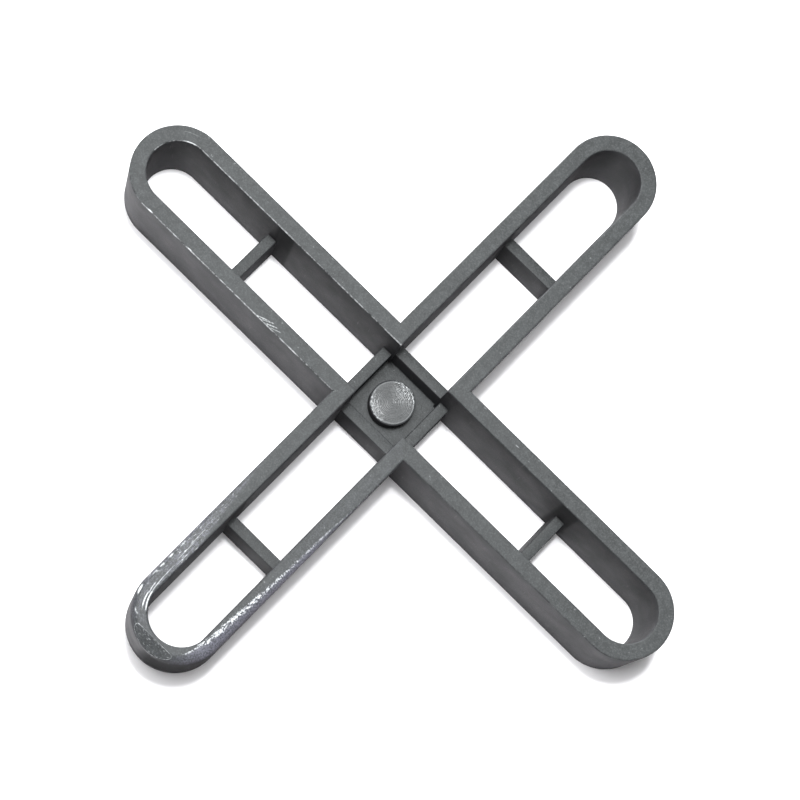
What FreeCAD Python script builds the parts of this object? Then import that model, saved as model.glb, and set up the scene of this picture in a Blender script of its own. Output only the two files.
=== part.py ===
import FreeCAD, Part
import math
import os
import Sketcher
from FreeCAD import Rotation, Vector

# Tile spacer, one moulding. Four hollow arms at right angles set the joint between the
# corners of four floor tiles. Millimetres, +Z up, arms along X and Y, and the origin at
# the middle of the flat base that stands on the floor.

NODE = "tile_spacer"
QUARTER_TURN = 90
FULL_TURN = 360

# Each row is a name, a value and what the value sets.
SIZES = [
    ("joint_width", 10.0, "outer width of an arm, the joint that it sets"),
    ("arm_reach", 36.5, "from the middle of the hub to the end of an arm"),
    ("body_height", 10.0, "height of the rails"),
    ("rail_thickness", 1.7, "thickness of a rail at its top"),
    ("draft_angle", 1.0, "lean of the inner faces, in degrees, thicker at the base"),
    ("rim_rounding", 0.2, "rounding of the top edges of the rails"),
    ("crossbar_distance", 20.7, "from the middle of the hub to the middle of a crossbar"),
    ("crossbar_thickness", 1.2, "thickness of a crossbar at its top"),
    ("crossbar_height", 5.0, "height of a crossbar above the base"),
    ("hub_bar_distance", 4.1, "from the middle of the hub to the middle of a hub bar"),
    ("hub_bar_thickness", 1.2, "thickness of a hub bar at its top"),
    ("hub_bar_height", 5.0, "height of a hub bar above the base"),
    ("floor_thickness", 2.0, "thickness of the floor inside the hub bars"),
    ("boss_diameter", 4.8, "diameter of the round boss on the floor"),
    ("boss_height", 1.7, "height of the boss above the floor"),
    ("boss_rounding", 0.2, "rounding of the top edge of the boss"),
    ("cut_overrun", 1.0, "how far the channel cut runs on below the base"),
]

# Two coordinates closer than this are taken as the same.
SAME_PLACE = 1e-6


def make_sheet(doc):
    """Put the driving sizes in a sheet and give each one its name."""
    sheet = doc.addObject("Spreadsheet::Sheet", "Sizes")
    for row, (name, value, meaning) in enumerate(SIZES, start=1):
        sheet.set(f"A{row}", name)
        sheet.set(f"B{row}", str(value))
        sheet.set(f"C{row}", meaning)
        sheet.setAlias(f"B{row}", name)
    doc.recompute()
    return sheet


def base_plane(body):
    """The body's own XY plane."""
    return next(item for item in body.Origin.OriginFeatures if item.Role == "XY_Plane")


def make_sketch(body, name, level=None):
    """An empty sketch flat on the base, or raised by the size that level names."""
    sketch = body.newObject("Sketcher::SketchObject", name)
    sketch.AttachmentSupport = [(base_plane(body), "")]
    sketch.MapMode = "FlatFace"
    if level:
        sketch.setExpression("AttachmentOffset.Base.z", level)
    return sketch


def bind(sketch, constraint, expression):
    """Add one dimension to a sketch and tie it to the sheet."""
    index = sketch.addConstraint(constraint)
    sketch.setExpression(f"Constraints[{index}]", expression)


def draw_stadium(sketch, reach, half_width, reach_size, half_width_size):
    """A long shape with half-round ends, centred on the origin and lying along X."""
    centre = reach - half_width
    upward = Vector(0, 0, 1)
    upper = Part.LineSegment(Vector(-centre, half_width, 0), Vector(centre, half_width, 0))
    lower = Part.LineSegment(Vector(centre, -half_width, 0), Vector(-centre, -half_width, 0))
    right_circle = Part.Circle(Vector(centre, 0, 0), upward, half_width)
    left_circle = Part.Circle(Vector(-centre, 0, 0), upward, half_width)
    right = Part.ArcOfCircle(right_circle, -math.pi / 2, math.pi / 2)
    left = Part.ArcOfCircle(left_circle, math.pi / 2, 3 * math.pi / 2)
    top, end, bottom, start = sketch.addGeometry([upper, right, lower, left], False)
    sketch.addConstraint(Sketcher.Constraint("Tangent", top, 2, end, 2))
    sketch.addConstraint(Sketcher.Constraint("Tangent", bottom, 1, end, 1))
    sketch.addConstraint(Sketcher.Constraint("Tangent", bottom, 2, start, 2))
    sketch.addConstraint(Sketcher.Constraint("Tangent", top, 1, start, 1))
    sketch.addConstraint(Sketcher.Constraint("Equal", end, start))
    sketch.addConstraint(Sketcher.Constraint("PointOnObject", end, 3, -1))
    sketch.addConstraint(Sketcher.Constraint("Symmetric", end, 3, start, 3, -1, 1))
    bind(sketch, Sketcher.Constraint("Radius", end, half_width), half_width_size)
    span = Sketcher.Constraint("DistanceX", start, 3, end, 3, 2 * centre)
    bind(sketch, span, f"2 * ({reach_size} - ({half_width_size}))")


def draw_rectangle(sketch, middle, length, width, far_side_size, length_size, width_size):
    """A rectangle centred on the X axis, with its far side at a set distance from the origin."""
    low_x = middle - length / 2
    high_x = middle + length / 2
    high_y = width / 2
    corners = [
        Vector(low_x, -high_y, 0),
        Vector(high_x, -high_y, 0),
        Vector(high_x, high_y, 0),
        Vector(low_x, high_y, 0),
    ]
    following = corners[1:] + corners[:1]
    edges = [Part.LineSegment(first, second) for first, second in zip(corners, following)]
    bottom, right, top, left = sketch.addGeometry(edges, False)
    for first, second in ((bottom, right), (right, top), (top, left), (left, bottom)):
        sketch.addConstraint(Sketcher.Constraint("Coincident", first, 2, second, 1))
    sketch.addConstraint(Sketcher.Constraint("Horizontal", bottom))
    sketch.addConstraint(Sketcher.Constraint("Horizontal", top))
    sketch.addConstraint(Sketcher.Constraint("Vertical", left))
    sketch.addConstraint(Sketcher.Constraint("Symmetric", right, 1, right, 2, -1))
    bind(sketch, Sketcher.Constraint("DistanceX", bottom, 1, bottom, 2, length), length_size)
    bind(sketch, Sketcher.Constraint("DistanceY", right, 1, right, 2, width), width_size)
    far_side = Sketcher.Constraint("DistanceX", -1, 1, right, 1, high_x)
    bind(sketch, far_side, far_side_size)


def add_pad(body, name, sketch, length_size):
    """Raise a sketch upwards."""
    pad = body.newObject("PartDesign::Pad", name)
    pad.Profile = sketch
    pad.setExpression("Length", length_size)
    return pad


def add_pattern(body, name, feature, copies, angle):
    """Repeat a feature about the upright axis through the hub."""
    upright = next(item for item in body.Origin.OriginFeatures if item.Role == "Z_Axis")
    pattern = body.newObject("PartDesign::PolarPattern", name)
    pattern.Originals = [feature]
    pattern.Axis = (upright, [""])
    pattern.Angle = angle
    pattern.Occurrences = copies
    body.Tip = pattern
    return pattern


def add_arms(body, value):
    """Two crossed bars with half-round ends, which leave a sharp notch between neighbours."""
    sketch = make_sketch(body, "ArmOutline")
    half_width = value("joint_width") / 2
    draw_stadium(sketch, value("arm_reach"), half_width, "Sizes.arm_reach", "Sizes.joint_width / 2")
    arms = add_pad(body, "Arms", sketch, "Sizes.body_height")
    return add_pattern(body, "CrossedArms", arms, 2, QUARTER_TURN)


def add_channels(body, value):
    """Hollow out the arms from above. The cut narrows downwards by the draft."""
    sketch = make_sketch(body, "ChannelOutline", "Sizes.body_height")
    half_width = value("joint_width") / 2 - value("rail_thickness")
    reach = value("arm_reach") - value("rail_thickness")
    reach_size = "(Sizes.arm_reach - Sizes.rail_thickness)"
    half_width_size = "Sizes.joint_width / 2 - Sizes.rail_thickness"
    draw_stadium(sketch, reach, half_width, reach_size, half_width_size)
    channel = body.newObject("PartDesign::Pocket", "Channel")
    channel.Profile = sketch
    channel.setExpression("Length", "Sizes.body_height + Sizes.cut_overrun")
    channel.setExpression("TaperAngle", "-Sizes.draft_angle")
    return add_pattern(body, "CrossedChannels", channel, 2, QUARTER_TURN)


def add_bars(body, value, name, place):
    """Four low bars, one across each arm. Each ends in the middle of both rails."""
    distance = f"{place}_distance"
    thickness = f"{place}_thickness"
    height = f"{place}_height"
    sketch = make_sketch(body, f"{name}Outline", f"Sizes.{height}")
    draw_rectangle(
        sketch,
        value(distance),
        value(thickness),
        value("joint_width") - value("rail_thickness"),
        f"Sizes.{distance} + Sizes.{thickness} / 2",
        f"Sizes.{thickness}",
        "Sizes.joint_width - Sizes.rail_thickness",
    )
    bar = add_pad(body, name, sketch, f"Sizes.{height}")
    bar.Reversed = True
    bar.setExpression("TaperAngle", "Sizes.draft_angle")
    return add_pattern(body, f"{name}s", bar, 4, FULL_TURN)


def add_floor(body, value):
    """The floor of the hub. It ends in the middle of the four hub bars."""
    sketch = make_sketch(body, "FloorOutline")
    width = 2 * value("hub_bar_distance")
    half_width_size = "Sizes.hub_bar_distance"
    width_size = f"2 * {half_width_size}"
    draw_rectangle(sketch, 0, width, width, half_width_size, width_size, width_size)
    return add_pad(body, "Floor", sketch, "Sizes.floor_thickness")


def add_boss(body, value):
    """The round boss that stands on the floor."""
    sketch = make_sketch(body, "BossOutline", "Sizes.floor_thickness")
    radius = value("boss_diameter") / 2
    circle = sketch.addGeometry(Part.Circle(Vector(0, 0, 0), Vector(0, 0, 1), radius), False)
    sketch.addConstraint(Sketcher.Constraint("Coincident", circle, 3, -1, 1))
    diameter = Sketcher.Constraint("Diameter", circle, 2 * radius)
    bind(sketch, diameter, "Sizes.boss_diameter")
    return add_pad(body, "Boss", sketch, "Sizes.boss_height")


def edges_at(shape, level, inside=math.inf):
    """Names of the edges that lie flat at one height, within a distance of the upright axis."""
    names = []
    for number, edge in enumerate(shape.Edges, start=1):
        box = edge.BoundBox
        is_level = abs(box.ZMin - level) < SAME_PLACE and abs(box.ZMax - level) < SAME_PLACE
        is_inside = max(abs(box.XMin), abs(box.XMax), abs(box.YMin), abs(box.YMax)) < inside
        if is_level and is_inside:
            names.append(f"Edge{number}")
    return names


def add_rounding(body, name, base, edges, radius_size):
    """Round the named edges of the feature made last."""
    rounding = body.newObject("PartDesign::Fillet", name)
    rounding.Base = (base, edges)
    rounding.setExpression("Radius", radius_size)
    return rounding


def check_document(doc):
    """Stop if any object of the document failed or any sketch is loose."""
    for item in doc.Objects:
        if "Invalid" in item.State or "Error" in item.State:
            raise RuntimeError(f"{item.Name} failed: {item.State}")
        if item.TypeId == "Sketcher::SketchObject" and not item.FullyConstrained:
            raise RuntimeError(f"{item.Name} isn't fully constrained")


def check_change(before, after, grows):
    """Stop if a feature that adds or cuts left the volume as it was."""
    change = after.Shape.Volume - before.Shape.Volume
    if (change > 0) != grows or abs(change) < SAME_PLACE:
        raise RuntimeError(f"{after.Name} changed the volume by {change:.3f}")


def build_spacer(doc):
    """Build the whole moulding as one body."""
    sheet = make_sheet(doc)

    def value(name):
        return float(sheet.get(name))

    body = doc.addObject("PartDesign::Body", "Spacer")
    body.Label = NODE
    body.Placement = FreeCAD.Placement(Vector(0, 0, 0), Rotation())
    arms = add_arms(body, value)
    doc.recompute()
    channels = add_channels(body, value)
    doc.recompute()
    check_change(arms, channels, grows=False)
    crossbars = add_bars(body, value, "Crossbar", "crossbar")
    doc.recompute()
    check_change(channels, crossbars, grows=True)
    hub_bars = add_bars(body, value, "HubBar", "hub_bar")
    doc.recompute()
    check_change(crossbars, hub_bars, grows=True)
    floor = add_floor(body, value)
    doc.recompute()
    check_change(hub_bars, floor, grows=True)
    boss = add_boss(body, value)
    doc.recompute()
    check_change(floor, boss, grows=True)
    rim_edges = edges_at(boss.Shape, value("body_height"))
    rim = add_rounding(body, "RimRounding", boss, rim_edges, "Sizes.rim_rounding")
    doc.recompute()
    check_change(boss, rim, grows=False)
    boss_top = value("floor_thickness") + value("boss_height")
    boss_edges = edges_at(rim.Shape, boss_top, value("boss_diameter") / 2 + SAME_PLACE)
    boss_rim = add_rounding(body, "BossRounding", rim, boss_edges, "Sizes.boss_rounding")
    doc.recompute()
    check_change(rim, boss_rim, grows=False)
    return body


def main():
    doc = FreeCAD.newDocument("TileSpacer")
    body = build_spacer(doc)
    check_document(doc)
    shape = body.Shape
    if shape.isNull() or not shape.isValid() or len(shape.Solids) != 1:
        raise RuntimeError(f"{body.Label} isn't one valid solid")
    os.makedirs("parts", exist_ok=True)
    shape.exportStep(os.path.join("parts", f"{body.Label}.step"))
    box = shape.optimalBoundingBox()
    print(f"{body.Label}: volume {shape.Volume:.1f}, faces {len(shape.Faces)}")
    print(f"box {box.XLength:.3f} x {box.YLength:.3f} x {box.ZLength:.3f}, base at {box.ZMin:.3f}")


main()
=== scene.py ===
"""A cross-shaped spacer of grey moulded plastic, on a pale floor under soft light."""

import math
import bmesh
import bpy
import numpy as np
from bpy.props import FloatProperty, FloatVectorProperty, IntProperty, PointerProperty
from mathutils import Matrix, Vector


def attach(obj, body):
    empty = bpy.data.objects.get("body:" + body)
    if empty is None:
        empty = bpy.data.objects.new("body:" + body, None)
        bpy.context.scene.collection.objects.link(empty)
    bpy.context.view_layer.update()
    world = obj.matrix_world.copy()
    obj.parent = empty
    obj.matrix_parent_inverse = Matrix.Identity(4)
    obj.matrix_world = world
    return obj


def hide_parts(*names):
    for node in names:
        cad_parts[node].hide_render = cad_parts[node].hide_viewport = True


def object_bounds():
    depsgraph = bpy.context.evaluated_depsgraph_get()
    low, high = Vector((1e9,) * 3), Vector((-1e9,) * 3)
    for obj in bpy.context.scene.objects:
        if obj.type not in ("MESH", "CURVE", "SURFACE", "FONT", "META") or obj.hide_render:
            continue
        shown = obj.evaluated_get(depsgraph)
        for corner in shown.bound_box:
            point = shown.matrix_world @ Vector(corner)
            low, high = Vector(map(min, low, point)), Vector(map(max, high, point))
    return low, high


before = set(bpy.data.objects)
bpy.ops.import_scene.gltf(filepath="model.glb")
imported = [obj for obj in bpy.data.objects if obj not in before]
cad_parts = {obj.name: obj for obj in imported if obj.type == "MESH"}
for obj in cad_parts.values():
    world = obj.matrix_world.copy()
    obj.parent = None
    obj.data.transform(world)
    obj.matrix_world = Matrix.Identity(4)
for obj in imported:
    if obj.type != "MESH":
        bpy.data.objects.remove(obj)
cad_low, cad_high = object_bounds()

bl_info = {
    "name": "Tile spacer",
    "version": (1, 0, 0),
    "blender": (4, 5, 0),
    "location": "View3D > Sidebar > Tile spacer",
    "description": "Makes a hollow cross-shaped tile spacer and the stage it is shown on",
    "category": "Add Mesh",
}

MM = 0.001
BODY = "root"
SEED = 7
ARMS = 4

# The arms in the order in which the outline meets them, by the way that each one points.
PLUS_X, PLUS_Y, MINUS_X, MINUS_Y = range(ARMS)


# Sizes, finish and stage: what a user would change


def size(name, description, millimetres):
    """A length that a user may change."""
    return FloatProperty(
        name=name,
        description=description,
        default=millimetres * MM,
        min=0.0,
        unit="LENGTH",
        subtype="DISTANCE",
        precision=5,
    )


def share(name, description, default, most=1.0):
    """A plain number from nought up."""
    return FloatProperty(name=name, description=description, default=default, min=0.0, max=most)


def colour(name, description, default):
    """A colour, as linear red, green and blue."""
    return FloatVectorProperty(
        name=name, description=description, default=default, size=3, min=0.0, max=4.0, subtype="COLOR"
    )


def degrees(name, description, default):
    """An angle, stored in radians."""
    return FloatProperty(
        name=name, description=description, default=math.radians(default), unit="ROTATION", subtype="ANGLE"
    )


class SpacerSizes(bpy.types.PropertyGroup):
    """Sizes of the moulding."""

    arm_reach: size("Arm reach", "From the middle of the hub to the end of an arm", cad_high.y / MM)
    height: size("Height", "Height of the rails", cad_high.z / MM)
    joint_width: size("Joint width", "Outer width of an arm", 10.0)
    rail_thickness: size("Rail thickness", "Thickness of a rail at its top", 1.7)
    draft: degrees("Draft", "Lean of the inner faces", 1.0)
    rim_rounding: size("Rim rounding", "Rounding of the top edges of the rails", 0.16)
    crossbar_distance: size("Crossbar distance", "From the hub to the middle of a crossbar", 20.7)
    hub_bar_distance: size("Hub bar distance", "From the hub to the middle of a hub bar", 4.1)
    bar_thickness: size("Bar thickness", "Thickness of a bar at its top", 1.2)
    bar_height: size("Bar height", "Height of the bars above the base", 5.0)
    bar_rounding: size("Bar rounding", "Rounding of the top edges of the bars", 0.08)
    floor_thickness: size("Floor thickness", "Thickness of the floor of the hub", 2.0)
    boss_diameter: size("Boss diameter", "Diameter of the round boss", 4.8)
    boss_height: size("Boss height", "Height of the boss above the floor of the hub", 1.7)
    boss_rounding: size("Boss rounding", "Rounding of the top edge of the boss", 0.2)
    boss_rings: IntProperty(
        name="Boss rings", description="Turned rings on top of the boss", default=13, min=1, max=40
    )
    ring_depth: size("Ring depth", "Depth of the turned rings", 0.0055)
    cell: size("Cell", "Length of a face along the rails", 0.2)


class SpacerFinish(bpy.types.PropertyGroup):
    """Colours and gloss of the plastic."""

    plastic: colour("Plastic", "Colour of the moulded plastic", (0.019, 0.0205, 0.0208))
    speckle: colour("Speckle", "Colour of the paler grains in the plastic", (0.0752, 0.08, 0.0812))
    wall_tint: colour("Wall tint", "Colour that the upright faces lean to", (0.0445, 0.0425, 0.047))
    # Painted shade: a near-black colour laid over the plastic where shade falls.
    painted_shade: colour("Painted shade", "Colour of the painted shade", (0.004, 0.0037, 0.0043))
    # Pale purple laid on rubbed plastic: partly wear, partly a painted sheen.
    wear_and_sheen: colour("Rubbing and sheen", "Colour of rubbed plastic and painted sheen", (0.58, 0.565, 0.72))
    # Pale colour of scratches and scuffs, also laid on as painted highlights.
    scuff_and_glint: colour("Scuff and glint", "Colour of scratched and scuffed plastic and of painted highlights", (0.62, 0.64, 0.65))
    roughness: share("Roughness", "Roughness of the moulded faces", 0.5)
    polished: share("Polished roughness", "Roughness where the plastic is cut smooth", 0.16)
    grain: size("Grain", "Size of the grain in the plastic", 0.16)
    grain_depth: size("Grain depth", "Depth of the grain", 0.03)


class StageSettings(bpy.types.PropertyGroup):
    """Floor, lights and camera."""

    floor: colour("Floor", "Colour of the floor", (0.925, 0.91, 0.92))
    surround: share("Surround", "Brightness of the room", 0.2, 10.0)
    floor_span: size("Floor span", "Width of the floor", 3000.0)
    lens: FloatProperty(name="Lens", description="Focal length in mm", default=117.62, min=1.0)
    camera_distance: size("Camera distance", "From the camera to the point it looks at", 272.84)
    camera_tilt: degrees("Camera tilt", "Lean of the camera away from straight down", 13.98)
    camera_turn: degrees("Camera turn", "Side that the camera leans to", 274.85)
    camera_roll: degrees("Camera roll", "Turn of the picture", 133.73)


# Meshes

SHARP_ANGLE = math.radians(40)


def smooth_step(value, start, end):
    """0 before start, 1 after end and a smooth rise between."""
    part = np.clip((value - start) / (end - start), 0.0, 1.0)
    return part * part * (3.0 - 2.0 * part)


def stretch(value, start, full, fading, end):
    """0 before start and after end, and 1 from full to fading."""
    return smooth_step(value, start, full) * (1.0 - smooth_step(value, fading, end))


def ripple(where, wavelengths, seed):
    """A smooth random line through the points of where, between about -1 and 1."""
    draw = np.random.default_rng(seed)
    total = np.zeros_like(where)
    for wavelength in wavelengths:
        total += np.sin(2 * math.pi * (where / wavelength + draw.random()))
    return total / math.sqrt(len(wavelengths))


def finish_piece(name, mesh, finish, marks=None):
    """Turn a mesh into a piece of the spacer, with smooth faces, sharp corners and its finish."""
    shape = bmesh.new()
    shape.from_mesh(mesh)
    bmesh.ops.recalc_face_normals(shape, faces=shape.faces)
    shape.to_mesh(mesh)
    shape.free()
    mesh.shade_smooth()
    mesh.set_sharp_from_angle(angle=SHARP_ANGLE)
    for mark, values in (marks or {}).items():
        attribute = mesh.attributes.new(mark, "FLOAT", "POINT")
        attribute.data.foreach_set("value", np.ascontiguousarray(values, np.float32).ravel())
    mesh.materials.append(finish)
    piece = bpy.data.objects.new(name, mesh)
    bpy.context.scene.collection.objects.link(piece)
    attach(piece, BODY)
    return piece


def grid_mesh(name, rings, closed):
    """A mesh through equal rings of points. An open row of rings gets a cap at each end."""
    count, around = rings.shape[:2]
    corner = np.arange(count * around).reshape(count, around)
    following = np.roll(corner, -1, axis=0)
    if not closed:
        corner, following = corner[:-1], following[:-1]
    quads = np.stack(
        [corner, np.roll(corner, -1, axis=1), np.roll(following, -1, axis=1), following], axis=-1
    )
    faces = quads.reshape(-1, 4).tolist()
    if not closed:
        faces.append(list(range(around)))
        faces.append(list(range((count - 1) * around, count * around)))
    mesh = bpy.data.meshes.new(name)
    mesh.from_pydata(rings.reshape(-1, 3).tolist(), [], faces)
    mesh.update()
    return mesh


def arm_outline(reach, half_width, cell):
    """One arm along +X, from notch to notch, as points and the inward way at each one.

    A point plus d times its inward way is the point at depth d inside the outer face. The last
    point is left out, because the next arm starts there.
    """
    centre = reach - half_width
    straight = np.linspace(0.0, 1.0, int((centre - half_width) / cell) + 1)[:-1]
    ways = np.stack([straight - 1.0, np.ones_like(straight)], axis=1)
    points = np.stack(
        [half_width + (centre - half_width) * straight, np.full_like(straight, -half_width)], axis=1
    )
    turn = np.linspace(-math.pi / 2, math.pi / 2, int(math.pi * half_width / cell) + 1)
    round_way = np.stack([np.cos(turn), np.sin(turn)], axis=1)
    round_points = half_width * round_way + np.array([centre, 0.0])
    back_points = points[:0:-1] * np.array([1.0, -1.0])
    back_ways = ways[:0:-1] * np.array([1.0, -1.0])
    return (
        np.concatenate([points, round_points, back_points]),
        np.concatenate([ways, -round_way, back_ways]),
    )


def arm_trail(local, reach, half_width):
    """How far each point of an arm's outline is from its start, were the notch at the hub's middle."""
    centre = reach - half_width
    x, y = local[:, 0], local[:, 1]
    round_tip = centre + half_width * (np.arctan2(y, np.maximum(x - centre, 0.0)) + math.pi / 2)
    far_side = centre + math.pi * half_width
    trail = np.where(y < 0, x, far_side + centre - x)
    return np.where(x > centre, round_tip, trail)


def along_arm(trail, stops, column=1):
    """A value along an arm, through stops whose first column is a trail in millimetres."""
    places = [stop[0] for stop in stops]
    return np.interp(trail / MM, places, [stop[column] for stop in stops])


def cross_outline(reach, half_width, cell):
    """The outline of all four arms: points, inward ways, the arm's number and the place on that arm."""
    points, ways = arm_outline(reach, half_width, cell)
    all_points, all_ways, arms = [], [], []
    for arm in range(ARMS):
        angle = arm * math.pi / 2
        turn = np.array([[math.cos(angle), math.sin(angle)], [-math.sin(angle), math.cos(angle)]])
        all_points.append(points @ turn)
        all_ways.append(ways @ turn)
        arms.append(np.full(len(points), arm))
    local = np.tile(points, (ARMS, 1))
    return np.concatenate(all_points), np.concatenate(all_ways), np.concatenate(arms), local


# The arm along -Y is worn. Its places are given by their trail in millimetres. The first rail runs
# out to 31.5, the round tip to 47.2, and the second rail runs back from there.

# The rounding of its outer and inner top edges in millimetres. They are rubbed round and smooth.
WORN_OUTER = [
    (17, 0.2), (22, 0.3), (28, 0.5), (31.5, 0.6), (35.4, 0.8), (39.4, 0.6), (43.3, 1.0),
    (47.2, 1.35), (48.7, 1.3), (52.7, 1.0), (56.7, 0.65), (60.7, 0.42), (64.7, 0.28), (66.7, 0.2),
]
WORN_INNER = [(18, 0.16), (28, 0.18), (31, 0.25), (36, 0.25), (39, 0.16)]

# Its first rail's top is scuffed, with a painted sheen: how far in from the outer face in millimetres, and
# how much.
RUBBED_SHEEN_REACH = [(8, 0.1), (16, 0.35), (18, 0.6), (22, 1.0), (26, 1.7), (44, 1.7)]
RUBBED_SHEEN_STRENGTH = [
    (8, 0.0), (14, 0.2), (18, 0.5), (22, 0.75), (26, 0.95), (30, 0.65), (34, 0.5), (37, 0.2), (44, 0.1),
]

# The scuffing fades out from just before that reach to just past it.
RUBBED_SHEEN_FADE = (-0.3, 0.15)

# A painted highlight band runs down its second rail. How deep in from the outer face it lies, and half its
# width.
HIGHLIGHT_BAND = [
    (42.6, 0.75, 0.05), (43.6, 1.0, 0.1), (45.5, 1.4, 0.2), (48.7, 1.12, 0.36), (52.7, 0.8, 0.3),
    (56.7, 0.56, 0.16), (61.7, 0.42, 0.14), (64.7, 0.25, 0.12), (67, 0.1, 0.1),
]
HIGHLIGHT_BAND_STRENGTH = [
    (42.6, 0.0), (44.0, 0.6), (47.0, 1.0), (53.0, 0.95), (57.0, 0.7), (61.0, 0.4), (68.0, 0.25),
    (72.0, 0.0),
]

# The distance from the highlight band's middle is stored in half widths, up to this many.
FARTHEST_OFFSET = 4.0

# The painted sheen between the band and the outer face starts, is full, fades and ends at these places.
SHEEN_STRETCH = (41, 46, 58, 70)

# It fades out across the band, between these half widths from the band's middle.
SHEEN_FADE = (-0.5, 1.0)

# Painted shade darkens the outer wall of its tip: it starts, is full, fades and ends at these.
TIP_SHADE_STRETCH = (38.2, 40.4, 45.5, 48)

# How bright the top edges are, as pale wear with a painted highlight.
# The arm along -Y has its own line of broken flecks.
EDGE_GLINT_STRENGTH = [
    (14, 0.0), (20, 0.3), (26, 0.4), (30, 0.9), (36, 0.7), (40, 0.1), (46, 0.1), (60, 0.2), (70, 0.0),
]
OUTER_GLINTS = {PLUS_X: 0.16, PLUS_Y: 0.14, MINUS_X: 0.15}
INNER_GLINTS = {PLUS_X: 0.1, PLUS_Y: 0.16, MINUS_X: 0.12, MINUS_Y: 0.1}

# The arm along -X has more painted highlight on the outer edge of its front rail and the inner edge of its
# back rail.
# The front edge gets brighter where its tip ends, between these two places in millimetres.
FRONT_GLINT = 0.65
FRONT_GLINT_AT_TIP = 0.2
FRONT_GLINT_RISE = (45.5, 47.5)
BACK_INNER_GLINT = 0.6

# Single pale lines, some scratch marks, some painted highlights: the arm, the trail at the start and end,
# the depth in from the outer face there, half the width and the strength.
SCRATCHES_AND_GLINTS = [
    (MINUS_Y, 32.3, 34.9, 1.13, 1.09, 0.03, 1.0),
    (MINUS_Y, 31.8, 35.4, 1.38, 1.49, 0.035, 1.0),
    (MINUS_Y, 30.9, 32.9, 1.0, 1.27, 0.02, 0.7),
    (MINUS_Y, 29.9, 32.5, 1.15, 1.42, 0.02, 0.6),
    (MINUS_Y, 28.6, 30.9, 1.14, 1.22, 0.02, 0.4),
    (MINUS_Y, 26.8, 29.0, 1.3, 1.34, 0.02, 0.35),
    (MINUS_Y, 25.6, 28.6, 0.96, 1.0, 0.02, 0.45),
    (MINUS_Y, 23.8, 26.8, 0.82, 0.86, 0.02, 0.4),
    (MINUS_Y, 32.1, 33.5, 0.24, 0.3, 0.06, 1.0),
    (MINUS_Y, 30.1, 30.9, 0.3, 0.24, 0.05, 0.6),
    (MINUS_Y, 29.1, 29.8, 0.3, 0.25, 0.06, 0.8),
    (MINUS_Y, 27.8, 28.6, 0.26, 0.22, 0.06, 0.8),
    (MINUS_Y, 26.1, 27.1, 0.24, 0.3, 0.04, 0.6),
    (MINUS_Y, 34.6, 35.6, 0.4, 0.66, 0.05, 0.6),
    (MINUS_X, 32.5, 34.7, 1.64, 1.64, 0.02, 0.8),
    (MINUS_X, 32.7, 35.2, 0.7, 0.63, 0.02, 0.3),
    (MINUS_X, 47.7, 48.3, 0.08, 0.12, 0.03, 0.7),
    (MINUS_X, 53.3, 53.8, 0.08, 0.12, 0.03, 0.6),
    (MINUS_X, 62.9, 64.0, 0.05, 0.6, 0.03, 0.7),
    (MINUS_X, 63.4, 64.5, 0.05, 0.8, 0.03, 0.8),
    (MINUS_X, 64.0, 65.1, 0.05, 0.7, 0.03, 0.7),
    (MINUS_X, 64.7, 65.7, 0.1, 0.6, 0.02, 0.6),
    (PLUS_X, 71.1, 71.5, 0.23, 0.24, 0.02, 0.5),
    (PLUS_X, 65.8, 66.2, 0.72, 0.74, 0.02, 0.5),
]
SCRATCH_AND_GLINT_SOFTNESS = 0.05

# Where along its length a line starts, is full, fades and ends, and how clear it stays of the wall.
SCRATCH_AND_GLINT_STRETCH = (0.0, 0.2, 0.7, 1.0)
SCRATCH_AND_GLINT_CLEARANCE = 0.05 * MM

# A sloping cut trims the top of the worn arm's tip.
TRIM_LENGTH = 1.35 * MM
TRIM_SLOPE = math.radians(20)

# Painted shade darkens the arms' back walls next to the crossbars. On two arms the patch is off the bar's
# middle.
SHADE_PATCH_SHIFTS = {PLUS_X: 0.6 * MM, MINUS_X: -0.5 * MM}
SHADE_PATCH_FADE = (0.85 * MM, 1.25 * MM)
SHADE_PATCH_STRENGTH = 0.5

# How much painted shade the bars' sides get towards their back ends, and over which part of a half length.
SHADE_CROSSBARS = 0.45
SHADE_HUB_BARS = 0.75
SHADE_BAR_RISE = (-0.7, 1.0)

# Painted highlights brighten the turned top of the boss on two sides of its middle.
FIRST_HIGHLIGHT_WAY = math.radians(83)
SECOND_HIGHLIGHT_WAY = math.radians(240)


class Section:
    """The upright section of a rail, as one closed loop at every point of the outline."""

    WALL_STEPS = 5
    ROUND_STEPS = 8
    TOP_STEPS = 22
    BASE_STEPS = 3

    def __init__(self, thickness, height, draft, outer, inner):
        self.depths = []
        self.levels = []
        lean = math.tan(draft)
        quarter = np.linspace(0.0, math.pi / 2, self.ROUND_STEPS + 1)
        zero = np.zeros_like(outer)
        for step in range(self.WALL_STEPS):
            self.put(zero, (height - outer) * step / self.WALL_STEPS)
        for angle in quarter[:-1]:
            self.put(outer * (1 - math.cos(angle)), height - outer * (1 - math.sin(angle)))
        for step in range(self.TOP_STEPS):
            part = step / self.TOP_STEPS
            self.put(outer + (thickness - inner - outer) * part, zero + height)
        for angle in quarter[:0:-1]:
            drop = inner * (1 - math.sin(angle))
            self.put(thickness - inner * (1 - math.cos(angle)) + lean * drop, height - drop)
        for step in range(self.WALL_STEPS):
            drop = inner + (height - inner) * step / self.WALL_STEPS
            self.put(thickness + lean * drop, height - drop)
        foot = thickness + lean * height
        for step in range(self.BASE_STEPS):
            self.put(zero + foot * (1 - step / self.BASE_STEPS), zero)
        self.depth = np.stack(self.depths, axis=1)
        self.level = np.stack(self.levels, axis=1)

    def put(self, depth, level):
        """Add the next point of the loop at every point of the outline."""
        self.depths.append(depth)
        self.levels.append(level)


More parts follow.
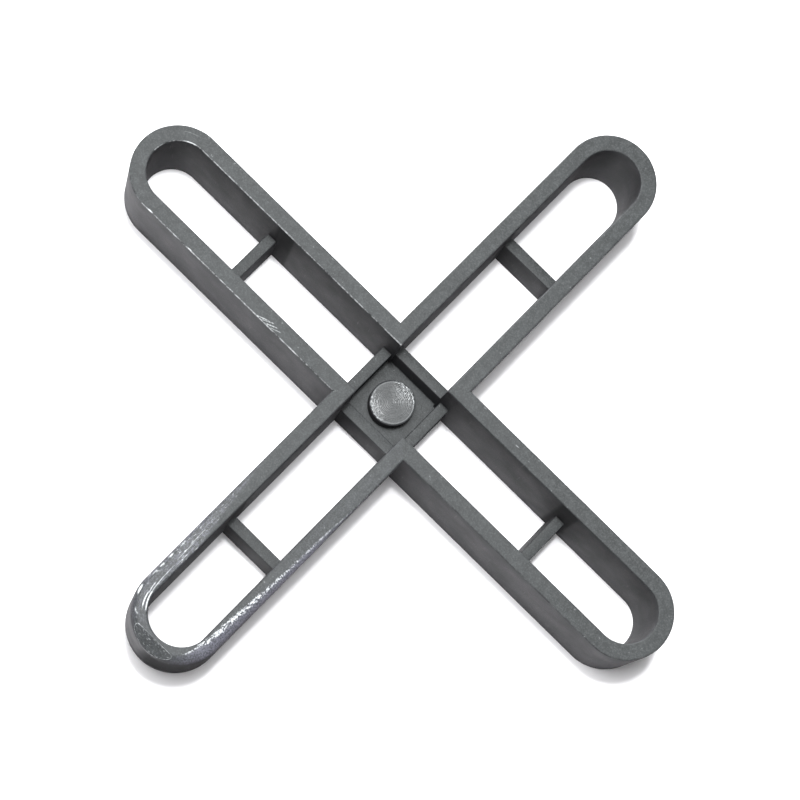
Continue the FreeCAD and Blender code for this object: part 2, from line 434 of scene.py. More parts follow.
class RailShape:
    """The rails as rings of points, with what their finish has to know about each point.

    arm, out, side, worn, trail and along have one value for each ring. depth, level, drop, above,
    trimmable and on_top have one for each point: depth goes in from the outer face, and drop down
    from the top.
    """

    UNEVEN_WAVES = (7.3, 3.1, 1.7)
    UNEVEN_EDGES = 0.12
    UNEVEN_WEAR = 0.05
    INNER_LAG = 100
    TOP_FADE = (0.3 * MM, 1.2 * MM)
    TIP_SHADE_WALL_RISE = (0.4 * MM, 1.2 * MM)
    LONGEST_CELL = 0.3
    TINY = 1e-6

    def __init__(self, sizes):
        half_width = sizes.joint_width / 2
        points, ways, self.arm, local = cross_outline(sizes.arm_reach, half_width, sizes.cell)
        self.out, self.side = local[:, 0], local[:, 1]
        self.worn = self.arm == MINUS_Y
        steps = np.linalg.norm(np.diff(points, axis=0), axis=1)
        self.along = np.concatenate([[0.0], np.cumsum(steps)])
        self.trail = arm_trail(local, sizes.arm_reach, half_width)
        outer, inner = self.roundings(sizes)
        section = Section(sizes.rail_thickness, sizes.height, sizes.draft, outer, inner)
        self.depth, self.level = section.depth, section.level
        self.rings = np.zeros(self.depth.shape + (3,))
        self.rings[:, :, :2] = points[:, None, :] + ways[:, None, :] * self.depth[:, :, None]
        self.trim_tip(sizes)
        self.rings[:, :, 2] = self.level
        self.drop = sizes.height - self.level
        self.on_top = 1.0 - smooth_step(self.drop, *self.TOP_FADE)

    def roundings(self, sizes):
        """The rounding of the outer and the inner top edge at each ring."""
        uneven = ripple(self.along, np.array(self.UNEVEN_WAVES) * MM, SEED)
        outer = sizes.rim_rounding * (1.0 + self.UNEVEN_EDGES * uneven)
        inner = sizes.rim_rounding * (1.0 + self.UNEVEN_EDGES * np.roll(uneven, self.INNER_LAG))
        wear = MM * (1.0 + self.UNEVEN_WEAR * uneven)
        return (
            np.where(self.worn, along_arm(self.trail, WORN_OUTER) * wear, outer),
            np.where(self.worn, along_arm(self.trail, WORN_INNER) * wear, inner),
        )

    def trim_tip(self, sizes):
        """Bring what stands above the sloping cut down to it."""
        beyond = -self.rings[:, :, 1] - (sizes.arm_reach - TRIM_LENGTH)
        self.above = self.level - (sizes.height - math.tan(TRIM_SLOPE) * beyond)
        self.trimmable = self.worn[:, None] & (self.level > sizes.height / 2)
        self.level = np.where(self.trimmable & (self.above > 0), self.level - self.above, self.level)

    def across(self):
        """The way from the foot of the outer face to each point, over the section."""
        gaps = np.hypot(np.diff(self.depth, axis=1), np.diff(self.level, axis=1))
        return np.concatenate([np.zeros((len(self.along), 1)), np.cumsum(gaps, axis=1)], axis=1)

    def spread(self, values):
        """One value for each ring, given to all of its points."""
        return np.repeat(values[:, None], self.depth.shape[1], axis=1)

    def edge_marks(self, sizes):
        """How far each point is from the top edges in millimetres, and how strong the pale wear and painted
        highlight are there.
        """
        arm, front = self.arm, self.side > 0
        past_tip = smooth_step(self.trail / MM, *FRONT_GLINT_RISE)
        front_glint = FRONT_GLINT_AT_TIP + (FRONT_GLINT - FRONT_GLINT_AT_TIP) * past_tip
        outer_edges = [(arm == MINUS_X) & front, self.worn] + [arm == key for key in OUTER_GLINTS]
        outer_glint = np.select(
            outer_edges, [front_glint, along_arm(self.trail, EDGE_GLINT_STRENGTH)] + list(OUTER_GLINTS.values())
        )
        inner_edges = [(arm == MINUS_X) & ~front] + [arm == key for key in INNER_GLINTS]
        inner_glint = np.select(inner_edges, [BACK_INNER_GLINT] + list(INNER_GLINTS.values()))
        return {
            "outer_gap": np.clip(np.hypot(self.depth, self.drop) / MM, 0.0, 1.0),
            "inner_gap": np.clip(np.hypot(sizes.rail_thickness - self.depth, self.drop) / MM, 0.0, 1.0),
            "outer_glint": self.spread(outer_glint),
            "inner_glint": self.spread(inner_glint),
        }

    def wear_and_highlight_marks(self):
        """The worn arm's scuffed first rail with painted sheen, the painted highlight band on its second
        rail and painted sheen next to it.
        """
        worn_top = self.worn[:, None] * self.on_top
        reach_in = along_arm(self.trail, RUBBED_SHEEN_REACH)[:, None]
        scuffed = 1 - smooth_step(self.depth / MM, reach_in + RUBBED_SHEEN_FADE[0], reach_in + RUBBED_SHEEN_FADE[1])
        middle = along_arm(self.trail, HIGHLIGHT_BAND)[:, None]
        half_width = along_arm(self.trail, HIGHLIGHT_BAND, 2)[:, None]
        band_offset = (self.depth / MM - middle) / half_width
        sheen_share = stretch(self.trail / MM, *SHEEN_STRETCH)[:, None]
        sheen_share = sheen_share * (1.0 - smooth_step(band_offset, *SHEEN_FADE))
        return {
            "wear_and_sheen": along_arm(self.trail, RUBBED_SHEEN_STRENGTH)[:, None] * worn_top * scuffed,
            "band": along_arm(self.trail, HIGHLIGHT_BAND_STRENGTH)[:, None] * worn_top,
            "band_offset": np.clip(band_offset, -FARTHEST_OFFSET, FARTHEST_OFFSET),
            "sheen_beside_band": sheen_share * worn_top,
        }

    def painted_shade_mark(self, sizes):
        """The painted shade on the worn tip's outer wall, and the painted shade patches next to the
        crossbars.
        """
        outer_wall = (self.depth < sizes.rail_thickness / 2) & (self.level > 0)
        outer_wall = outer_wall * smooth_step(self.drop, *self.TIP_SHADE_WALL_RISE) * self.worn[:, None]
        # Painted shade on the worn tip's outer wall.
        painted_shade_tip = stretch(self.trail / MM, *TIP_SHADE_STRETCH)[:, None] * outer_wall
        # Painted shade on the back walls next to the crossbars.
        shifted = [self.arm == key for key in SHADE_PATCH_SHIFTS]
        shift = np.select(shifted, list(SHADE_PATCH_SHIFTS.values()), 0.0)
        gap = np.abs(self.out - sizes.crossbar_distance - shift)
        at_back = (self.side > 0) == np.isin(self.arm, (PLUS_X, PLUS_Y))
        patch = ((1 - smooth_step(gap, *SHADE_PATCH_FADE)) * at_back)[:, None]
        patch = patch * (self.depth > sizes.rail_thickness)
        return np.maximum(painted_shade_tip, SHADE_PATCH_STRENGTH * patch)

    def scratch_and_glint_mark(self):
        """Single pale lines, scratch marks and painted highlights, which fade out towards their ends."""
        clear_of_wall = self.on_top * smooth_step(self.depth, 0.0, SCRATCH_AND_GLINT_CLEARANCE)
        scratches_and_glints = np.zeros_like(self.depth)
        for owner, start, end, first, last, half_width, strength in SCRATCHES_AND_GLINTS:
            part = np.clip((self.trail / MM - start) / (end - start), 0.0, 1.0)
            here = stretch(part, *SCRATCH_AND_GLINT_STRETCH) * (self.arm == owner)
            offset = np.abs(self.depth / MM - (first + (last - first) * part)[:, None])
            line = 1 - smooth_step(offset, half_width, half_width + SCRATCH_AND_GLINT_SOFTNESS)
            scratches_and_glints = np.maximum(scratches_and_glints, here[:, None] * line * clear_of_wall * strength)
        return scratches_and_glints

    def trim_mark(self, sizes):
        """About the distance in millimetres to the edge of the sloping cut, below nought outside it."""
        slope = np.hypot(*np.gradient(self.above / MM)) + self.TINY
        cells = np.hypot(np.gradient(self.along)[:, None] / MM, np.gradient(self.depth / MM, axis=1))
        trim = np.clip(self.above / MM / slope * np.minimum(cells, self.LONGEST_CELL), -1.0, 1.0)
        return np.where(self.trimmable & (self.depth < sizes.rail_thickness), trim, -1.0)

    def marks(self, sizes):
        """All that the rails' finish reads from their mesh."""
        return {
            "along": self.spread(self.along),
            "across": self.across(),
            "painted_shade": self.painted_shade_mark(sizes),
            "scratches_and_glints": self.scratch_and_glint_mark(),
            "trim": self.trim_mark(sizes),
            **self.edge_marks(sizes),
            **self.wear_and_highlight_marks(),
        }


BAR_ROUND_STEPS = 4
BAR_STATIONS = 25


def bar_rings(middle, half_length, thickness, height, rounding, draft):
    """Rings of a bar that lies across +X at a distance, thicker at its base by the draft."""
    half_top = thickness / 2
    foot = half_top + math.tan(draft) * height
    outline = [(-foot, 0.0), (-(half_top + foot) / 2, height / 2)]
    for angle in np.linspace(0.0, math.pi / 2, BAR_ROUND_STEPS + 1 if rounding > 0 else 1):
        outline.append(
            (-half_top + rounding * (1 - math.cos(angle)), height - rounding * (1 - math.sin(angle)))
        )
    outline += [(-x, z) for x, z in reversed(outline)]
    section = np.array(outline)
    stations = np.linspace(-half_length, half_length, BAR_STATIONS)
    rings = np.zeros((len(stations), len(section), 3))
    rings[:, :, 0] = middle + section[None, :, 0]
    rings[:, :, 1] = stations[:, None]
    rings[:, :, 2] = section[None, :, 1]
    return rings


def low_bar(sizes, distance):
    """Rings of one of the low bars that join the rails of an arm, at a distance from the hub."""
    half_length = (sizes.joint_width - sizes.rail_thickness) / 2
    return bar_rings(
        distance, half_length, sizes.bar_thickness, sizes.bar_height, sizes.bar_rounding, sizes.draft
    )


def turned(rings, arm):
    """The same rings turned about the upright axis to another arm."""
    angle = arm * math.pi / 2
    cosine, sine = math.cos(angle), math.sin(angle)
    result = rings.copy()
    result[:, :, 0] = cosine * rings[:, :, 0] - sine * rings[:, :, 1]
    result[:, :, 1] = sine * rings[:, :, 0] + cosine * rings[:, :, 1]
    return result


def painted_shade_side(rings, arm, sizes):
    """How much painted shade the sides of a bar get, from nought at its front end to one at its back end.
    """
    along = rings[:, :, 1] / rings[:, :, 1].max() * (1.0 if arm in (PLUS_X, PLUS_Y) else -1.0)
    on_top = smooth_step(rings[:, :, 2], sizes.bar_height - sizes.bar_rounding, sizes.bar_height)
    return smooth_step(along, *SHADE_BAR_RISE) * (1.0 - on_top)


# Shader nodes

# Sizes of what varies in the plastic, coarsest first.
DRAG_PATCH = 4.0 * MM
CLOUD = 3.0 * MM
SPOT = 2.2 * MM
PATCH = 1.2 * MM
BLOTCH = 0.7 * MM
GRIT = 0.5 * MM
FLECK = 0.35 * MM
NICK = 0.3 * MM
DRAG = 0.22 * MM
SPARK = 0.18 * MM
FINE = 0.17 * MM
DASH = 0.13 * MM
STREAK = 0.12 * MM
RING = 0.09 * MM

# How far noise is drawn out: marks of the mould up the walls, streaks and dashes along the rails.
DRAG_DRAWN = 0.06
STREAK_DRAWN = 0.05
DASH_DRAWN = 0.3

# How far round the boss a grain of its rings reaches.
RING_REACH = 0.35 * MM

# The floor's fibres, how bright the darkest are beside the palest, and the gloss of the paper.
FIBRE = 1.5 * MM
FIBRE_SHADE = 0.98
PAPER_ROUGHNESS = 0.9
PAPER_SPECULAR = 0.1

# Gloss of the plastic.
PLASTIC_IOR = 1.46
PLASTIC_SPECULAR = 0.2


class Value:
    """A shader socket that can stand in a sum. Each operator adds one Math node."""

    def __init__(self, board, socket):
        self.board = board
        self.socket = socket

    def __add__(self, other):
        return self.board.maths("ADD", self, other)

    def __sub__(self, other):
        return self.board.maths("SUBTRACT", self, other)

    def __rsub__(self, other):
        return self.board.maths("SUBTRACT", other, self)

    def __mul__(self, other):
        return self.board.maths("MULTIPLY", self, other)

    __radd__ = __add__
    __rmul__ = __mul__


class Board:
    """The nodes of one material."""

    def __init__(self, name):
        self.material = bpy.data.materials.new(name)
        self.material.use_nodes = True
        self.tree = self.material.node_tree
        self.tree.nodes.clear()

    def add(self, kind, settings=None, inputs=None):
        """Add a node of any kind, with its settings first and then its sockets."""
        node = self.tree.nodes.new(kind)
        for name, setting in (settings or {}).items():
            setattr(node, name, setting)
        for name, entry in (inputs or {}).items():
            if isinstance(entry, Value):
                self.tree.links.new(entry.socket, node.inputs[name])
            else:
                node.inputs[name].default_value = entry
        return node

    def get(self, kind, output, settings=None, inputs=None):
        """Add a node and return one of its outputs."""
        return Value(self, self.add(kind, settings, inputs).outputs[output])

    def maths(self, operation, first, second=0.0):
        """A number worked out from one or two others."""
        return self.get("ShaderNodeMath", 0, {"operation": operation}, {0: first, 1: second})

    def scaled(self, vector, factors):
        """A vector with each of its parts multiplied."""
        return self.get(
            "ShaderNodeVectorMath", "Vector", {"operation": "MULTIPLY"}, {0: vector, 1: factors}
        )

    def parts(self, vector):
        """The X, Y and Z of a vector."""
        node = self.add("ShaderNodeSeparateXYZ", None, {"Vector": vector})
        return [Value(self, output) for output in node.outputs]

    def vector(self, x, y, z=0.0):
        """A vector from its parts."""
        return self.get("ShaderNodeCombineXYZ", "Vector", None, {"X": x, "Y": y, "Z": z})

    def mark(self, name):
        """What a piece's mesh stores under a name."""
        return self.get("ShaderNodeAttribute", "Fac", {"attribute_name": name})

    def noise(self, place, feature, detail, roughness):
        """Noise with features of about the given size in metres."""
        sockets = {"Vector": place, "Scale": 1.0 / feature, "Detail": detail, "Roughness": roughness}
        return self.get("ShaderNodeTexNoise", "Fac", None, sockets)

    def rise(self, value, start, end):
        """0 below start, 1 above end."""
        sockets = {"Value": value, "From Min": start, "From Max": end}
        return self.get("ShaderNodeMapRange", "Result", {"interpolation_type": "SMOOTHSTEP"}, sockets)

    def blend(self, amount, first, second):
        """From one colour to another. The Mix node's colour sockets have the numbers 6 and 7."""
        return self.get("ShaderNodeMix", 2, {"data_type": "RGBA"}, {0: amount, 6: first, 7: second})

    def bump(self, height, distance):
        """Relief of a height between 0 and 1 that stands for a distance in metres."""
        sockets = {"Strength": 1.0, "Distance": distance, "Height": height}
        return self.get("ShaderNodeBump", "Normal", None, sockets)

    def principled(self, sockets):
        """The finished material, from the sockets of its shader."""
        shader = self.get("ShaderNodeBsdfPrincipled", "BSDF", None, sockets)
        self.add("ShaderNodeOutputMaterial", None, {"Surface": shader})
        return self.material


def with_alpha(tint):
    """A colour as a socket takes it."""
    return (tint[0], tint[1], tint[2], 1.0)


class Plastic:
    """Grey moulded plastic with a fine grain, as values that a piece can add its wear and its painted light
    to.

    haze and pale are how much of the rubbed and of the scuffed colour shows; the first is partly a painted
    sheen, the second partly painted highlights.
    """

    def __init__(self, name):
        self.finish = finish = bpy.context.scene.spacer_finish
        self.board = board = Board(name)
        self.place = board.get("ShaderNodeTexCoord", "Object")
        facing_x, _, facing_z = board.parts(board.get("ShaderNodeTexCoord", "Normal"))
        upward = board.rise(facing_z, 0.5, 0.9)
        sideways = board.rise(facing_x, 0.2, 0.9)
        upright = 1 - upward

        grain = board.noise(self.place, finish.grain, 2.0, 0.6)
        cloud = board.noise(self.place, CLOUD, 3.0, 0.55)
        blotch = board.noise(self.place, BLOTCH, 2.0, 0.6)
        fleck = board.noise(self.place, FLECK, 1.0, 0.5)
        grit = board.noise(self.place, GRIT, 2.0, 0.5)
        drag = board.noise(board.scaled(self.place, (1.0, 1.0, DRAG_DRAWN)), DRAG, 2.0, 0.6)
        drag_patch = board.rise(board.noise(self.place, DRAG_PATCH, 2.0, 0.6), 0.45, 0.65)

        speckle = board.rise(grain, 0.42, 0.72) * 0.4 + board.rise(blotch, 0.3, 0.7) * 0.15
        speckle = speckle + board.rise(cloud, 0.35, 0.7) * 0.1 + 0.1
        speckled = board.blend(speckle, with_alpha(finish.plastic), with_alpha(finish.speckle))
        mottle = board.rise(cloud + (blotch - 0.5) * 0.5, 0.35, 0.7)
        self.tint = board.blend(upright * (0.82 - mottle * 0.25), speckled, with_alpha(finish.wall_tint))

        self.rub_and_sheen = 0.0
        drawn_marks = upright * drag_patch * board.rise(drag, 0.58, 0.75) * 0.15
        self.pale = board.rise(fleck, 0.73, 0.8) * (upward * 0.1 + 0.1) + drawn_marks
        uneven = (grain - 0.5) * 0.25 + (cloud - 0.5) * (upright * 0.15 + 0.15)
        self.rough = uneven + upright * 0.13 + sideways * 0.2 + finish.roughness
        self.relief = (grain + grit * 0.4) * (upward * 0.5 + 0.5) + upright * drag * 0.5

    def material(self):
        """The material, with painted shade, painted sheen on rubbing, and pale scuffs and painted
        highlights laid on top.
        """
        board, finish = self.board, self.finish
        painted_shade = board.mark("painted_shade")
        # Painted shade: where the mark is set, the colour goes to near black and the plastic gets rougher.
        tint = board.blend(painted_shade * 0.9, self.tint, with_alpha(finish.painted_shade))
        # Pale purple of rubbing, partly a painted sheen.
        tint = board.blend(self.rub_and_sheen, tint, with_alpha(finish.wear_and_sheen))
        # Pale scuffs, specks and scratch marks, with painted highlights.
        tint = board.blend(board.rise(self.pale, 0.0, 1.0), tint, with_alpha(finish.scuff_and_glint))
        return board.principled(
            {
                "Base Color": tint,
                "Roughness": self.rough + painted_shade * 0.4,
                "IOR": PLASTIC_IOR,
                "Specular IOR Level": PLASTIC_SPECULAR,
                "Normal": board.bump(self.relief, finish.grain_depth),
            }
        )


def worn_plastic_with_painted_highlights(name):
    """The plastic of the rails: worn edges with painted highlights, and one arm scuffed, scratched, trimmed
    and painted with highlights and sheen.
    """
    base = Plastic(name)
    board = base.board
    along, across = board.mark("along"), board.mark("across")
    streak = board.noise(board.vector(along * STREAK_DRAWN, across), STREAK, 1.0, 0.5)
    dash = board.noise(board.vector(along * DASH_DRAWN, across), DASH, 2.0, 0.6)
    nick = board.noise(base.place, NICK, 3.0, 0.7)
    spark = board.noise(base.place, SPARK, 1.0, 0.5)
    spot = board.rise(board.noise(base.place, SPOT, 2.0, 0.6), 0.35, 0.62)
    patch = board.rise(board.noise(base.place, PATCH, 2.0, 0.5), 0.35, 0.65)

    # A pale line along the top edges: wear with a painted highlight, broken up by noise.
    broken = spot * 0.55 + board.rise(nick, 0.4, 0.6) * 0.45
    for gap, strength in (("outer_gap", "outer_glint"), ("inner_gap", "inner_glint")):
        line = 1 - board.rise(board.mark(gap), 0.07, 0.15)
        base.pale = base.pale + line * board.mark(strength) * broken

    rub = board.mark("wear_and_sheen")
    # Pale flecks on the rubbed rail: wear, with painted glints.
    flecks = board.rise(dash + nick * 0.6, 0.87, 1.0) * (patch * 0.45 + 0.2)
    base.pale = base.pale + rub * flecks
    # Painted sheen: pale purple streaks over the rubbing, and next to the band.
    base.rub_and_sheen = rub * (board.rise(streak, 0.48, 0.66) * 0.07 + board.rise(spark, 0.45, 0.65) * 0.08)
    base.rub_and_sheen = base.rub_and_sheen + board.mark("sheen_beside_band") * (board.rise(spark, 0.3, 0.7) * 0.12 + 0.05)
    base.rough = base.rough - rub * 0.12
    base.relief = base.relief + streak * rub * 0.8

    # Painted highlight: a ragged pale band down the worn arm's second rail.
    offset = board.maths("ABSOLUTE", board.mark("band_offset"))
    ragged = offset + (dash - 0.5) * 2.4 + (nick - 0.5) * 1.6
    band = (1 - board.rise(ragged, 0.4, 1.1)) * board.mark("band")
    base.pale = base.pale + band * (board.rise(dash + spark, 0.88, 1.18) * 0.85 + 0.05)
    # Scratch marks and painted highlights drawn as thin pale lines.
    base.pale = base.pale + board.mark("scratches_and_glints") * (board.rise(nick, 0.3, 0.5) * 0.4 + 0.4)

    trim = board.mark("trim")
    # Painted highlight along the edge of the sloping cut, and pale flecks on the cut.
    trim_edge_glint = 1 - board.rise(board.maths("ABSOLUTE", trim), 0.03, 0.08)
    facet = board.rise(trim, 0.0, 0.1)
    base.pale = base.pale + trim_edge_glint * (board.rise(nick, 0.35, 0.6) * 0.25 + 0.15)
    base.pale = base.pale + facet * board.rise(dash + nick * 0.5, 0.78, 0.95) * 0.22
    return base.material()


def turned_plastic(name):
    """The plastic of the boss, whose top was cut in fine rings and shines, with painted highlights and
    sheen.
    """
    base = Plastic(name)
    board = base.board
    flat = board.scaled(base.place, (1.0, 1.0, 0.0))
    radius = board.get("ShaderNodeVectorMath", "Value", {"operation": "LENGTH"}, {0: flat})
    way = board.get("ShaderNodeVectorMath", "Vector", {"operation": "NORMALIZE"}, {0: flat})
    way_x, way_y, _ = board.parts(way)
    ring = board.noise(board.vector(radius, way_x * RING_REACH, way_y * RING_REACH), RING, 3.0, 0.7)
    fine = board.noise(base.place, FINE, 1.0, 0.5)
    on_top, highlight_sides = board.mark("on_top"), board.mark("highlight_sides")
    # Painted highlights: pale glints on the two sides and round the top edge, and a faint painted sheen
    # over the rings.
    glints = highlight_sides * board.rise(ring + fine, 0.98, 1.2)
    base.rub_and_sheen = on_top * ring * 0.006
    base.pale = base.pale * 0.5 + board.mark("rim_highlight") * 0.2 + glints * 0.46
    smooth = base.finish.polished + (1 - highlight_sides) * 0.12
    base.rough = base.rough - on_top * (base.rough - smooth)
    base.relief = base.relief - on_top * base.relief * 0.9 + ring * (highlight_sides * 0.4 + on_top * 0.1)
    return base.material()


def floor_finish():
    """Matt white paper with a faint fibre."""
    stage = bpy.context.scene.spacer_stage
    board = Board("white_floor")
    fibre = board.noise(board.get("ShaderNodeTexCoord", "Object"), FIBRE, 3.0, 0.6)
    shaded = with_alpha([FIBRE_SHADE * part for part in stage.floor])
    tint = board.blend(fibre, shaded, with_alpha(stage.floor))
    return board.principled(
        {"Base Color": tint, "Roughness": PAPER_ROUGHNESS, "Specular IOR Level": PAPER_SPECULAR}
    )


# Operators


class AddRails(bpy.types.Operator):
    """The rails of all four arms, which run round the cross as one band."""

    bl_idname = "spacer.add_rails"
    bl_label = "Rails"

    def execute(self, context):
        sizes = context.scene.spacer_sizes
        rails = RailShape(sizes)
        mesh = grid_mesh("rails", rails.rings, closed=True)
        piece = finish_piece("rails", mesh, worn_plastic_with_painted_highlights("moulded_rails"), rails.marks(sizes))
        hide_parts("tile_spacer")
        return {"FINISHED"}


class AddCrossbars(bpy.types.Operator):
    """A low bar across the middle of each arm."""

    bl_idname = "spacer.add_crossbars"
    bl_label = "Crossbars"

    def execute(self, context):
        sizes = context.scene.spacer_sizes
        finish = Plastic("moulded_crossbars").material()
        rings = low_bar(sizes, sizes.crossbar_distance)
        for arm in range(ARMS):
            name = f"crossbar_{arm + 1}"
            # Painted shade on the bar's sides towards its back end.
            marks = {"painted_shade": painted_shade_side(rings, arm, sizes) * SHADE_CROSSBARS}
            finish_piece(name, grid_mesh(name, turned(rings, arm), closed=False), finish, marks)
        return {"FINISHED"}


class AddHub(bpy.types.Operator):
    """The four bars and the floor that close the hub."""

    bl_idname = "spacer.add_hub"
    bl_label = "Hub bars and floor"

    def execute(self, context):
        sizes = context.scene.spacer_sizes
        finish = Plastic("moulded_hub").material()
        rings = low_bar(sizes, sizes.hub_bar_distance)
        outward = rings[:, :, 0] > sizes.hub_bar_distance
        for arm in range(ARMS):
            name = f"hub_bar_{arm + 1}"
            # Painted shade on the outer side of the hub bar towards its back end.
            marks = {"painted_shade": painted_shade_side(rings, arm, sizes) * outward * SHADE_HUB_BARS}
            finish_piece(name, grid_mesh(name, turned(rings, arm), closed=False), finish, marks)
        width = 2 * sizes.hub_bar_distance
        plate = bar_rings(0.0, width / 2, width, sizes.floor_thickness, 0.0, 0.0)
        finish_piece("hub_floor", grid_mesh("hub_floor", plate, closed=False), finish)
        return {"FINISHED"}


class AddBoss(bpy.types.Operator):
    """The round boss in the middle of the hub, with fine turned rings on its top."""

    bl_idname = "spacer.add_boss"
    bl_label = "Boss"

    WALL_STEPS = 5
    ROUND_STEPS = 6
    RING_STEPS = 11
    TURN_STEPS = 160
    INNERMOST = 0.03 * MM
    WANDER_WAVES = (1.3, 0.7)
    WANDER = 0.8
    DEPTH_WAVES = (0.9, 0.5)
    UNEVEN_DEPTH = 0.25
    RIM_FADE = (0.03 * MM, 0.12 * MM)
    FIRST_SIDE_RISE = (0.5, 0.95)
    SECOND_SIDE_RISE = (0.4, 0.95)
    BROAD_RISE = (0.8 * MM, 1.8 * MM)

    def execute(self, context):
        sizes = context.scene.spacer_sizes
        profile = self.profile(sizes)
        turn = np.linspace(0.0, 2 * math.pi, self.TURN_STEPS + 1)[:-1]
        rings = np.zeros((len(profile), len(turn), 3))
        rings[:, :, 0] = profile[:, 0, None] * np.cos(turn)
        rings[:, :, 1] = profile[:, 0, None] * np.sin(turn)
        rings[:, :, 2] = profile[:, 1, None]
        mesh = grid_mesh("boss", rings, closed=False)
        finish_piece("boss", mesh, turned_plastic("turned_boss"), self.marks(sizes, profile, turn))
        return {"FINISHED"}

    def profile(self, sizes):
        """How far out each ring is and its level: up the wall, over the edge and in over the grooves."""
        radius, rounding = sizes.boss_diameter / 2, sizes.boss_rounding
        top = sizes.floor_thickness + sizes.boss_height
        levels = np.linspace(sizes.floor_thickness / 2, top - rounding, self.WALL_STEPS + 1)[:-1]
        points = [(radius, level) for level in levels]
        for angle in np.linspace(0.0, math.pi / 2, self.ROUND_STEPS + 1)[:-1]:
            points.append(
                (radius - rounding * (1 - math.cos(angle)), top - rounding * (1 - math.sin(angle)))
            )
        flat = radius - rounding
        distances = np.linspace(flat, self.INNERMOST, sizes.boss_rings * self.RING_STEPS)
        phase = 2 * math.pi * sizes.boss_rings * (flat - distances) / flat
        wander = self.WANDER * ripple(distances, np.array(self.WANDER_WAVES) * MM, SEED)
        deeper = self.UNEVEN_DEPTH * ripple(distances, np.array(self.DEPTH_WAVES) * MM, SEED + 1)
        grooves = (0.5 - 0.5 * np.cos(phase + wander)) * (1.0 - self.UNEVEN_DEPTH + deeper)
        return np.array(points + list(zip(distances, top - sizes.ring_depth * grooves)))

    def marks(self, sizes, profile, turn):
        """Where the boss is cut smooth, the painted highlight round its top edge, and the two sides with
        painted highlights, also glossier and more ridged.
        """
        rounding = sizes.boss_rounding
        top = sizes.floor_thickness + sizes.boss_height
        flat = sizes.boss_diameter / 2 - rounding
        on_top = (profile[:, 1] > top - rounding / 2) * 1.0
        rim_highlight = 1.0 - smooth_step(np.abs(profile[:, 0] - flat), *self.RIM_FADE)
        first_side = smooth_step(np.cos(turn - FIRST_HIGHLIGHT_WAY), *self.FIRST_SIDE_RISE)
        second_side = smooth_step(np.cos(turn - SECOND_HIGHLIGHT_WAY), *self.SECOND_SIDE_RISE)
        broad = smooth_step(profile[:, 0], *self.BROAD_RISE)[:, None]
        highlight_sides = np.maximum(first_side * (broad * 0.55 + 0.45), second_side * (broad * 0.7 + 0.1))
        return {
            "on_top": np.repeat(on_top[:, None], len(turn), axis=1),
            "rim_highlight": np.repeat((rim_highlight * on_top)[:, None], len(turn), axis=1),
            "highlight_sides": highlight_sides * on_top[:, None],
        }


# Each light: name, the way to it from the part, distance and width in metres, brightness and tint.
LIGHTS = [
    ("main_light", (-0.16, 0.0, 0.987), 0.3, 0.18, 1.48, (0.985, 1.0, 1.01)),
    ("side_light", (-0.68, 0.68, 0.276), 0.6, 0.277, 1.9, (0.98, 1.0, 1.01)),
    ("spark_light", (-0.088, 0.052, 0.995), 0.5, 0.03, 0.6, (0.98, 1.0, 1.01)),
]

# The point that the camera looks at, and the width of its sensor in millimetres.
CAMERA_AIM = Vector((0.265, 1.663, 0.0)) * MM
SENSOR_WIDTH = 36.0

# The nearest and farthest that the camera sees, in metres.
CLIPS = (0.01, 10.0)

# The floor lies just below the base, so that the two don't share a plane.
FLOOR_LEVEL = -0.01 * MM


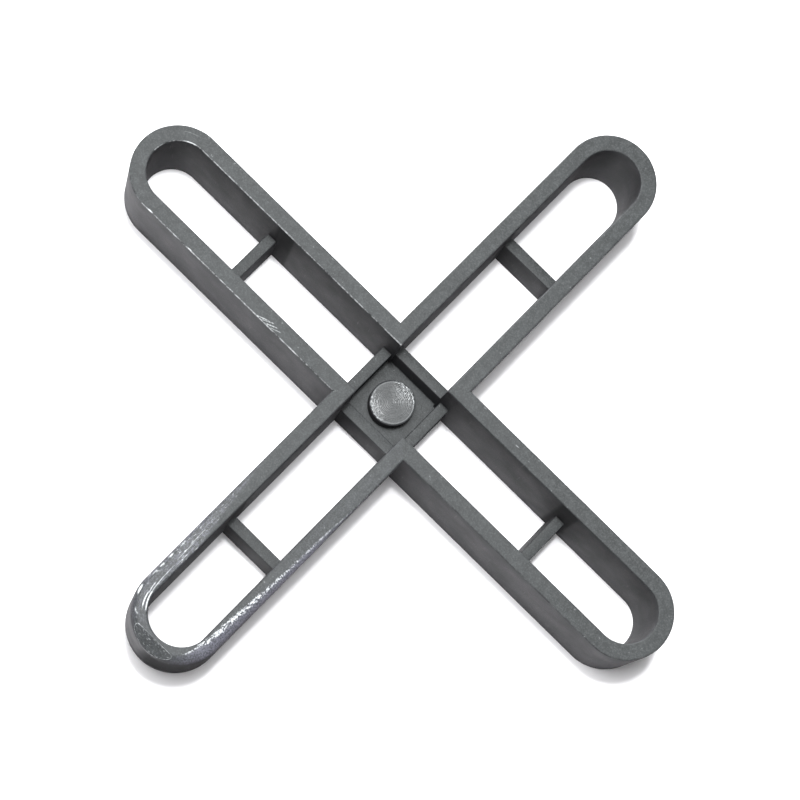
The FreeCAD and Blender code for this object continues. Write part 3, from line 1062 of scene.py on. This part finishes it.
class SetStage(bpy.types.Operator):
    """A pale floor, soft lights and the camera."""

    bl_idname = "spacer.set_stage"
    bl_label = "Stage"

    def execute(self, context):
        self.lay_floor(context.scene)
        self.hang_lights(context.scene)
        self.place_camera(context.scene)
        context.scene.view_settings.view_transform = "Standard"
        return {"FINISHED"}

    def lay_floor(self, scene):
        """A wide flat sheet that the spacer stands on."""
        half = scene.spacer_stage.floor_span / 2
        corners = [(x * half, y * half, FLOOR_LEVEL) for x, y in ((-1, -1), (1, -1), (1, 1), (-1, 1))]
        mesh = bpy.data.meshes.new("floor")
        mesh.from_pydata(corners, [], [(0, 1, 2, 3)])
        mesh.materials.append(floor_finish())
        floor = bpy.data.objects.new("floor", mesh)
        scene.collection.objects.link(floor)

    def hang_lights(self, scene):
        """Soft boxes, and an even glow from the room."""
        for name, way, distance, width, brightness, tint in LIGHTS:
            data = bpy.data.lights.new(name, "AREA")
            data.shape = "DISK"
            data.size = width
            data.energy = brightness * (math.pi * distance) ** 2
            data.color = tint
            light = bpy.data.objects.new(name, data)
            back = Vector(way).normalized()
            light.location = back * distance
            light.rotation_mode = "QUATERNION"
            light.rotation_quaternion = back.to_track_quat("Z", "Y")
            scene.collection.objects.link(light)
        world = bpy.data.worlds.new("room")
        world.use_nodes = True
        background = world.node_tree.nodes["Background"]
        background.inputs["Color"].default_value = (1.0, 1.0, 1.0, 1.0)
        background.inputs["Strength"].default_value = scene.spacer_stage.surround
        scene.world = world

    def place_camera(self, scene):
        """The camera looks down at the part from a little to one side."""
        stage = scene.spacer_stage
        tilt, turn, roll = stage.camera_tilt, stage.camera_turn, stage.camera_roll
        back = Vector((math.sin(tilt) * math.cos(turn), math.sin(tilt) * math.sin(turn), math.cos(tilt)))
        right = Vector((math.cos(roll), math.sin(roll), 0.0)).cross(back).normalized()
        up = back.cross(right)
        data = bpy.data.cameras.new("camera")
        data.lens = stage.lens
        data.sensor_width = SENSOR_WIDTH
        data.clip_start, data.clip_end = CLIPS
        camera = bpy.data.objects.new("camera", data)
        camera.matrix_world = Matrix.Translation(CAMERA_AIM + back * stage.camera_distance) @ Matrix(
            (right, up, back)
        ).transposed().to_4x4()
        scene.collection.objects.link(camera)
        scene.camera = camera


OPERATORS = (AddRails, AddCrossbars, AddHub, AddBoss, SetStage)


class SpacerPanel(bpy.types.Panel):
    """Buttons for the parts of the spacer, in the order in which they are made."""

    bl_idname = "VIEW3D_PT_tile_spacer"
    bl_label = "Tile spacer"
    bl_space_type = "VIEW_3D"
    bl_region_type = "UI"
    bl_category = "Tile spacer"

    def draw(self, context):
        for operator in OPERATORS:
            self.layout.operator(operator.bl_idname)
        for group in (context.scene.spacer_sizes, context.scene.spacer_finish, context.scene.spacer_stage):
            box = self.layout.box()
            for name in group.__annotations__:
                box.prop(group, name)


GROUPS = (SpacerSizes, SpacerFinish, StageSettings)


def register():
    for item in GROUPS + OPERATORS + (SpacerPanel,):
        bpy.utils.register_class(item)
    bpy.types.Scene.spacer_sizes = PointerProperty(type=SpacerSizes)
    bpy.types.Scene.spacer_finish = PointerProperty(type=SpacerFinish)
    bpy.types.Scene.spacer_stage = PointerProperty(type=StageSettings)


def unregister():
    del bpy.types.Scene.spacer_stage
    del bpy.types.Scene.spacer_finish
    del bpy.types.Scene.spacer_sizes
    for item in reversed(GROUPS + OPERATORS + (SpacerPanel,)):
        bpy.utils.unregister_class(item)


def main():
    register()
    bpy.ops.spacer.add_rails()
    bpy.ops.spacer.add_crossbars()
    bpy.ops.spacer.add_hub()
    bpy.ops.spacer.add_boss()
    bpy.ops.spacer.set_stage()


if __name__ == "__main__":
    main()
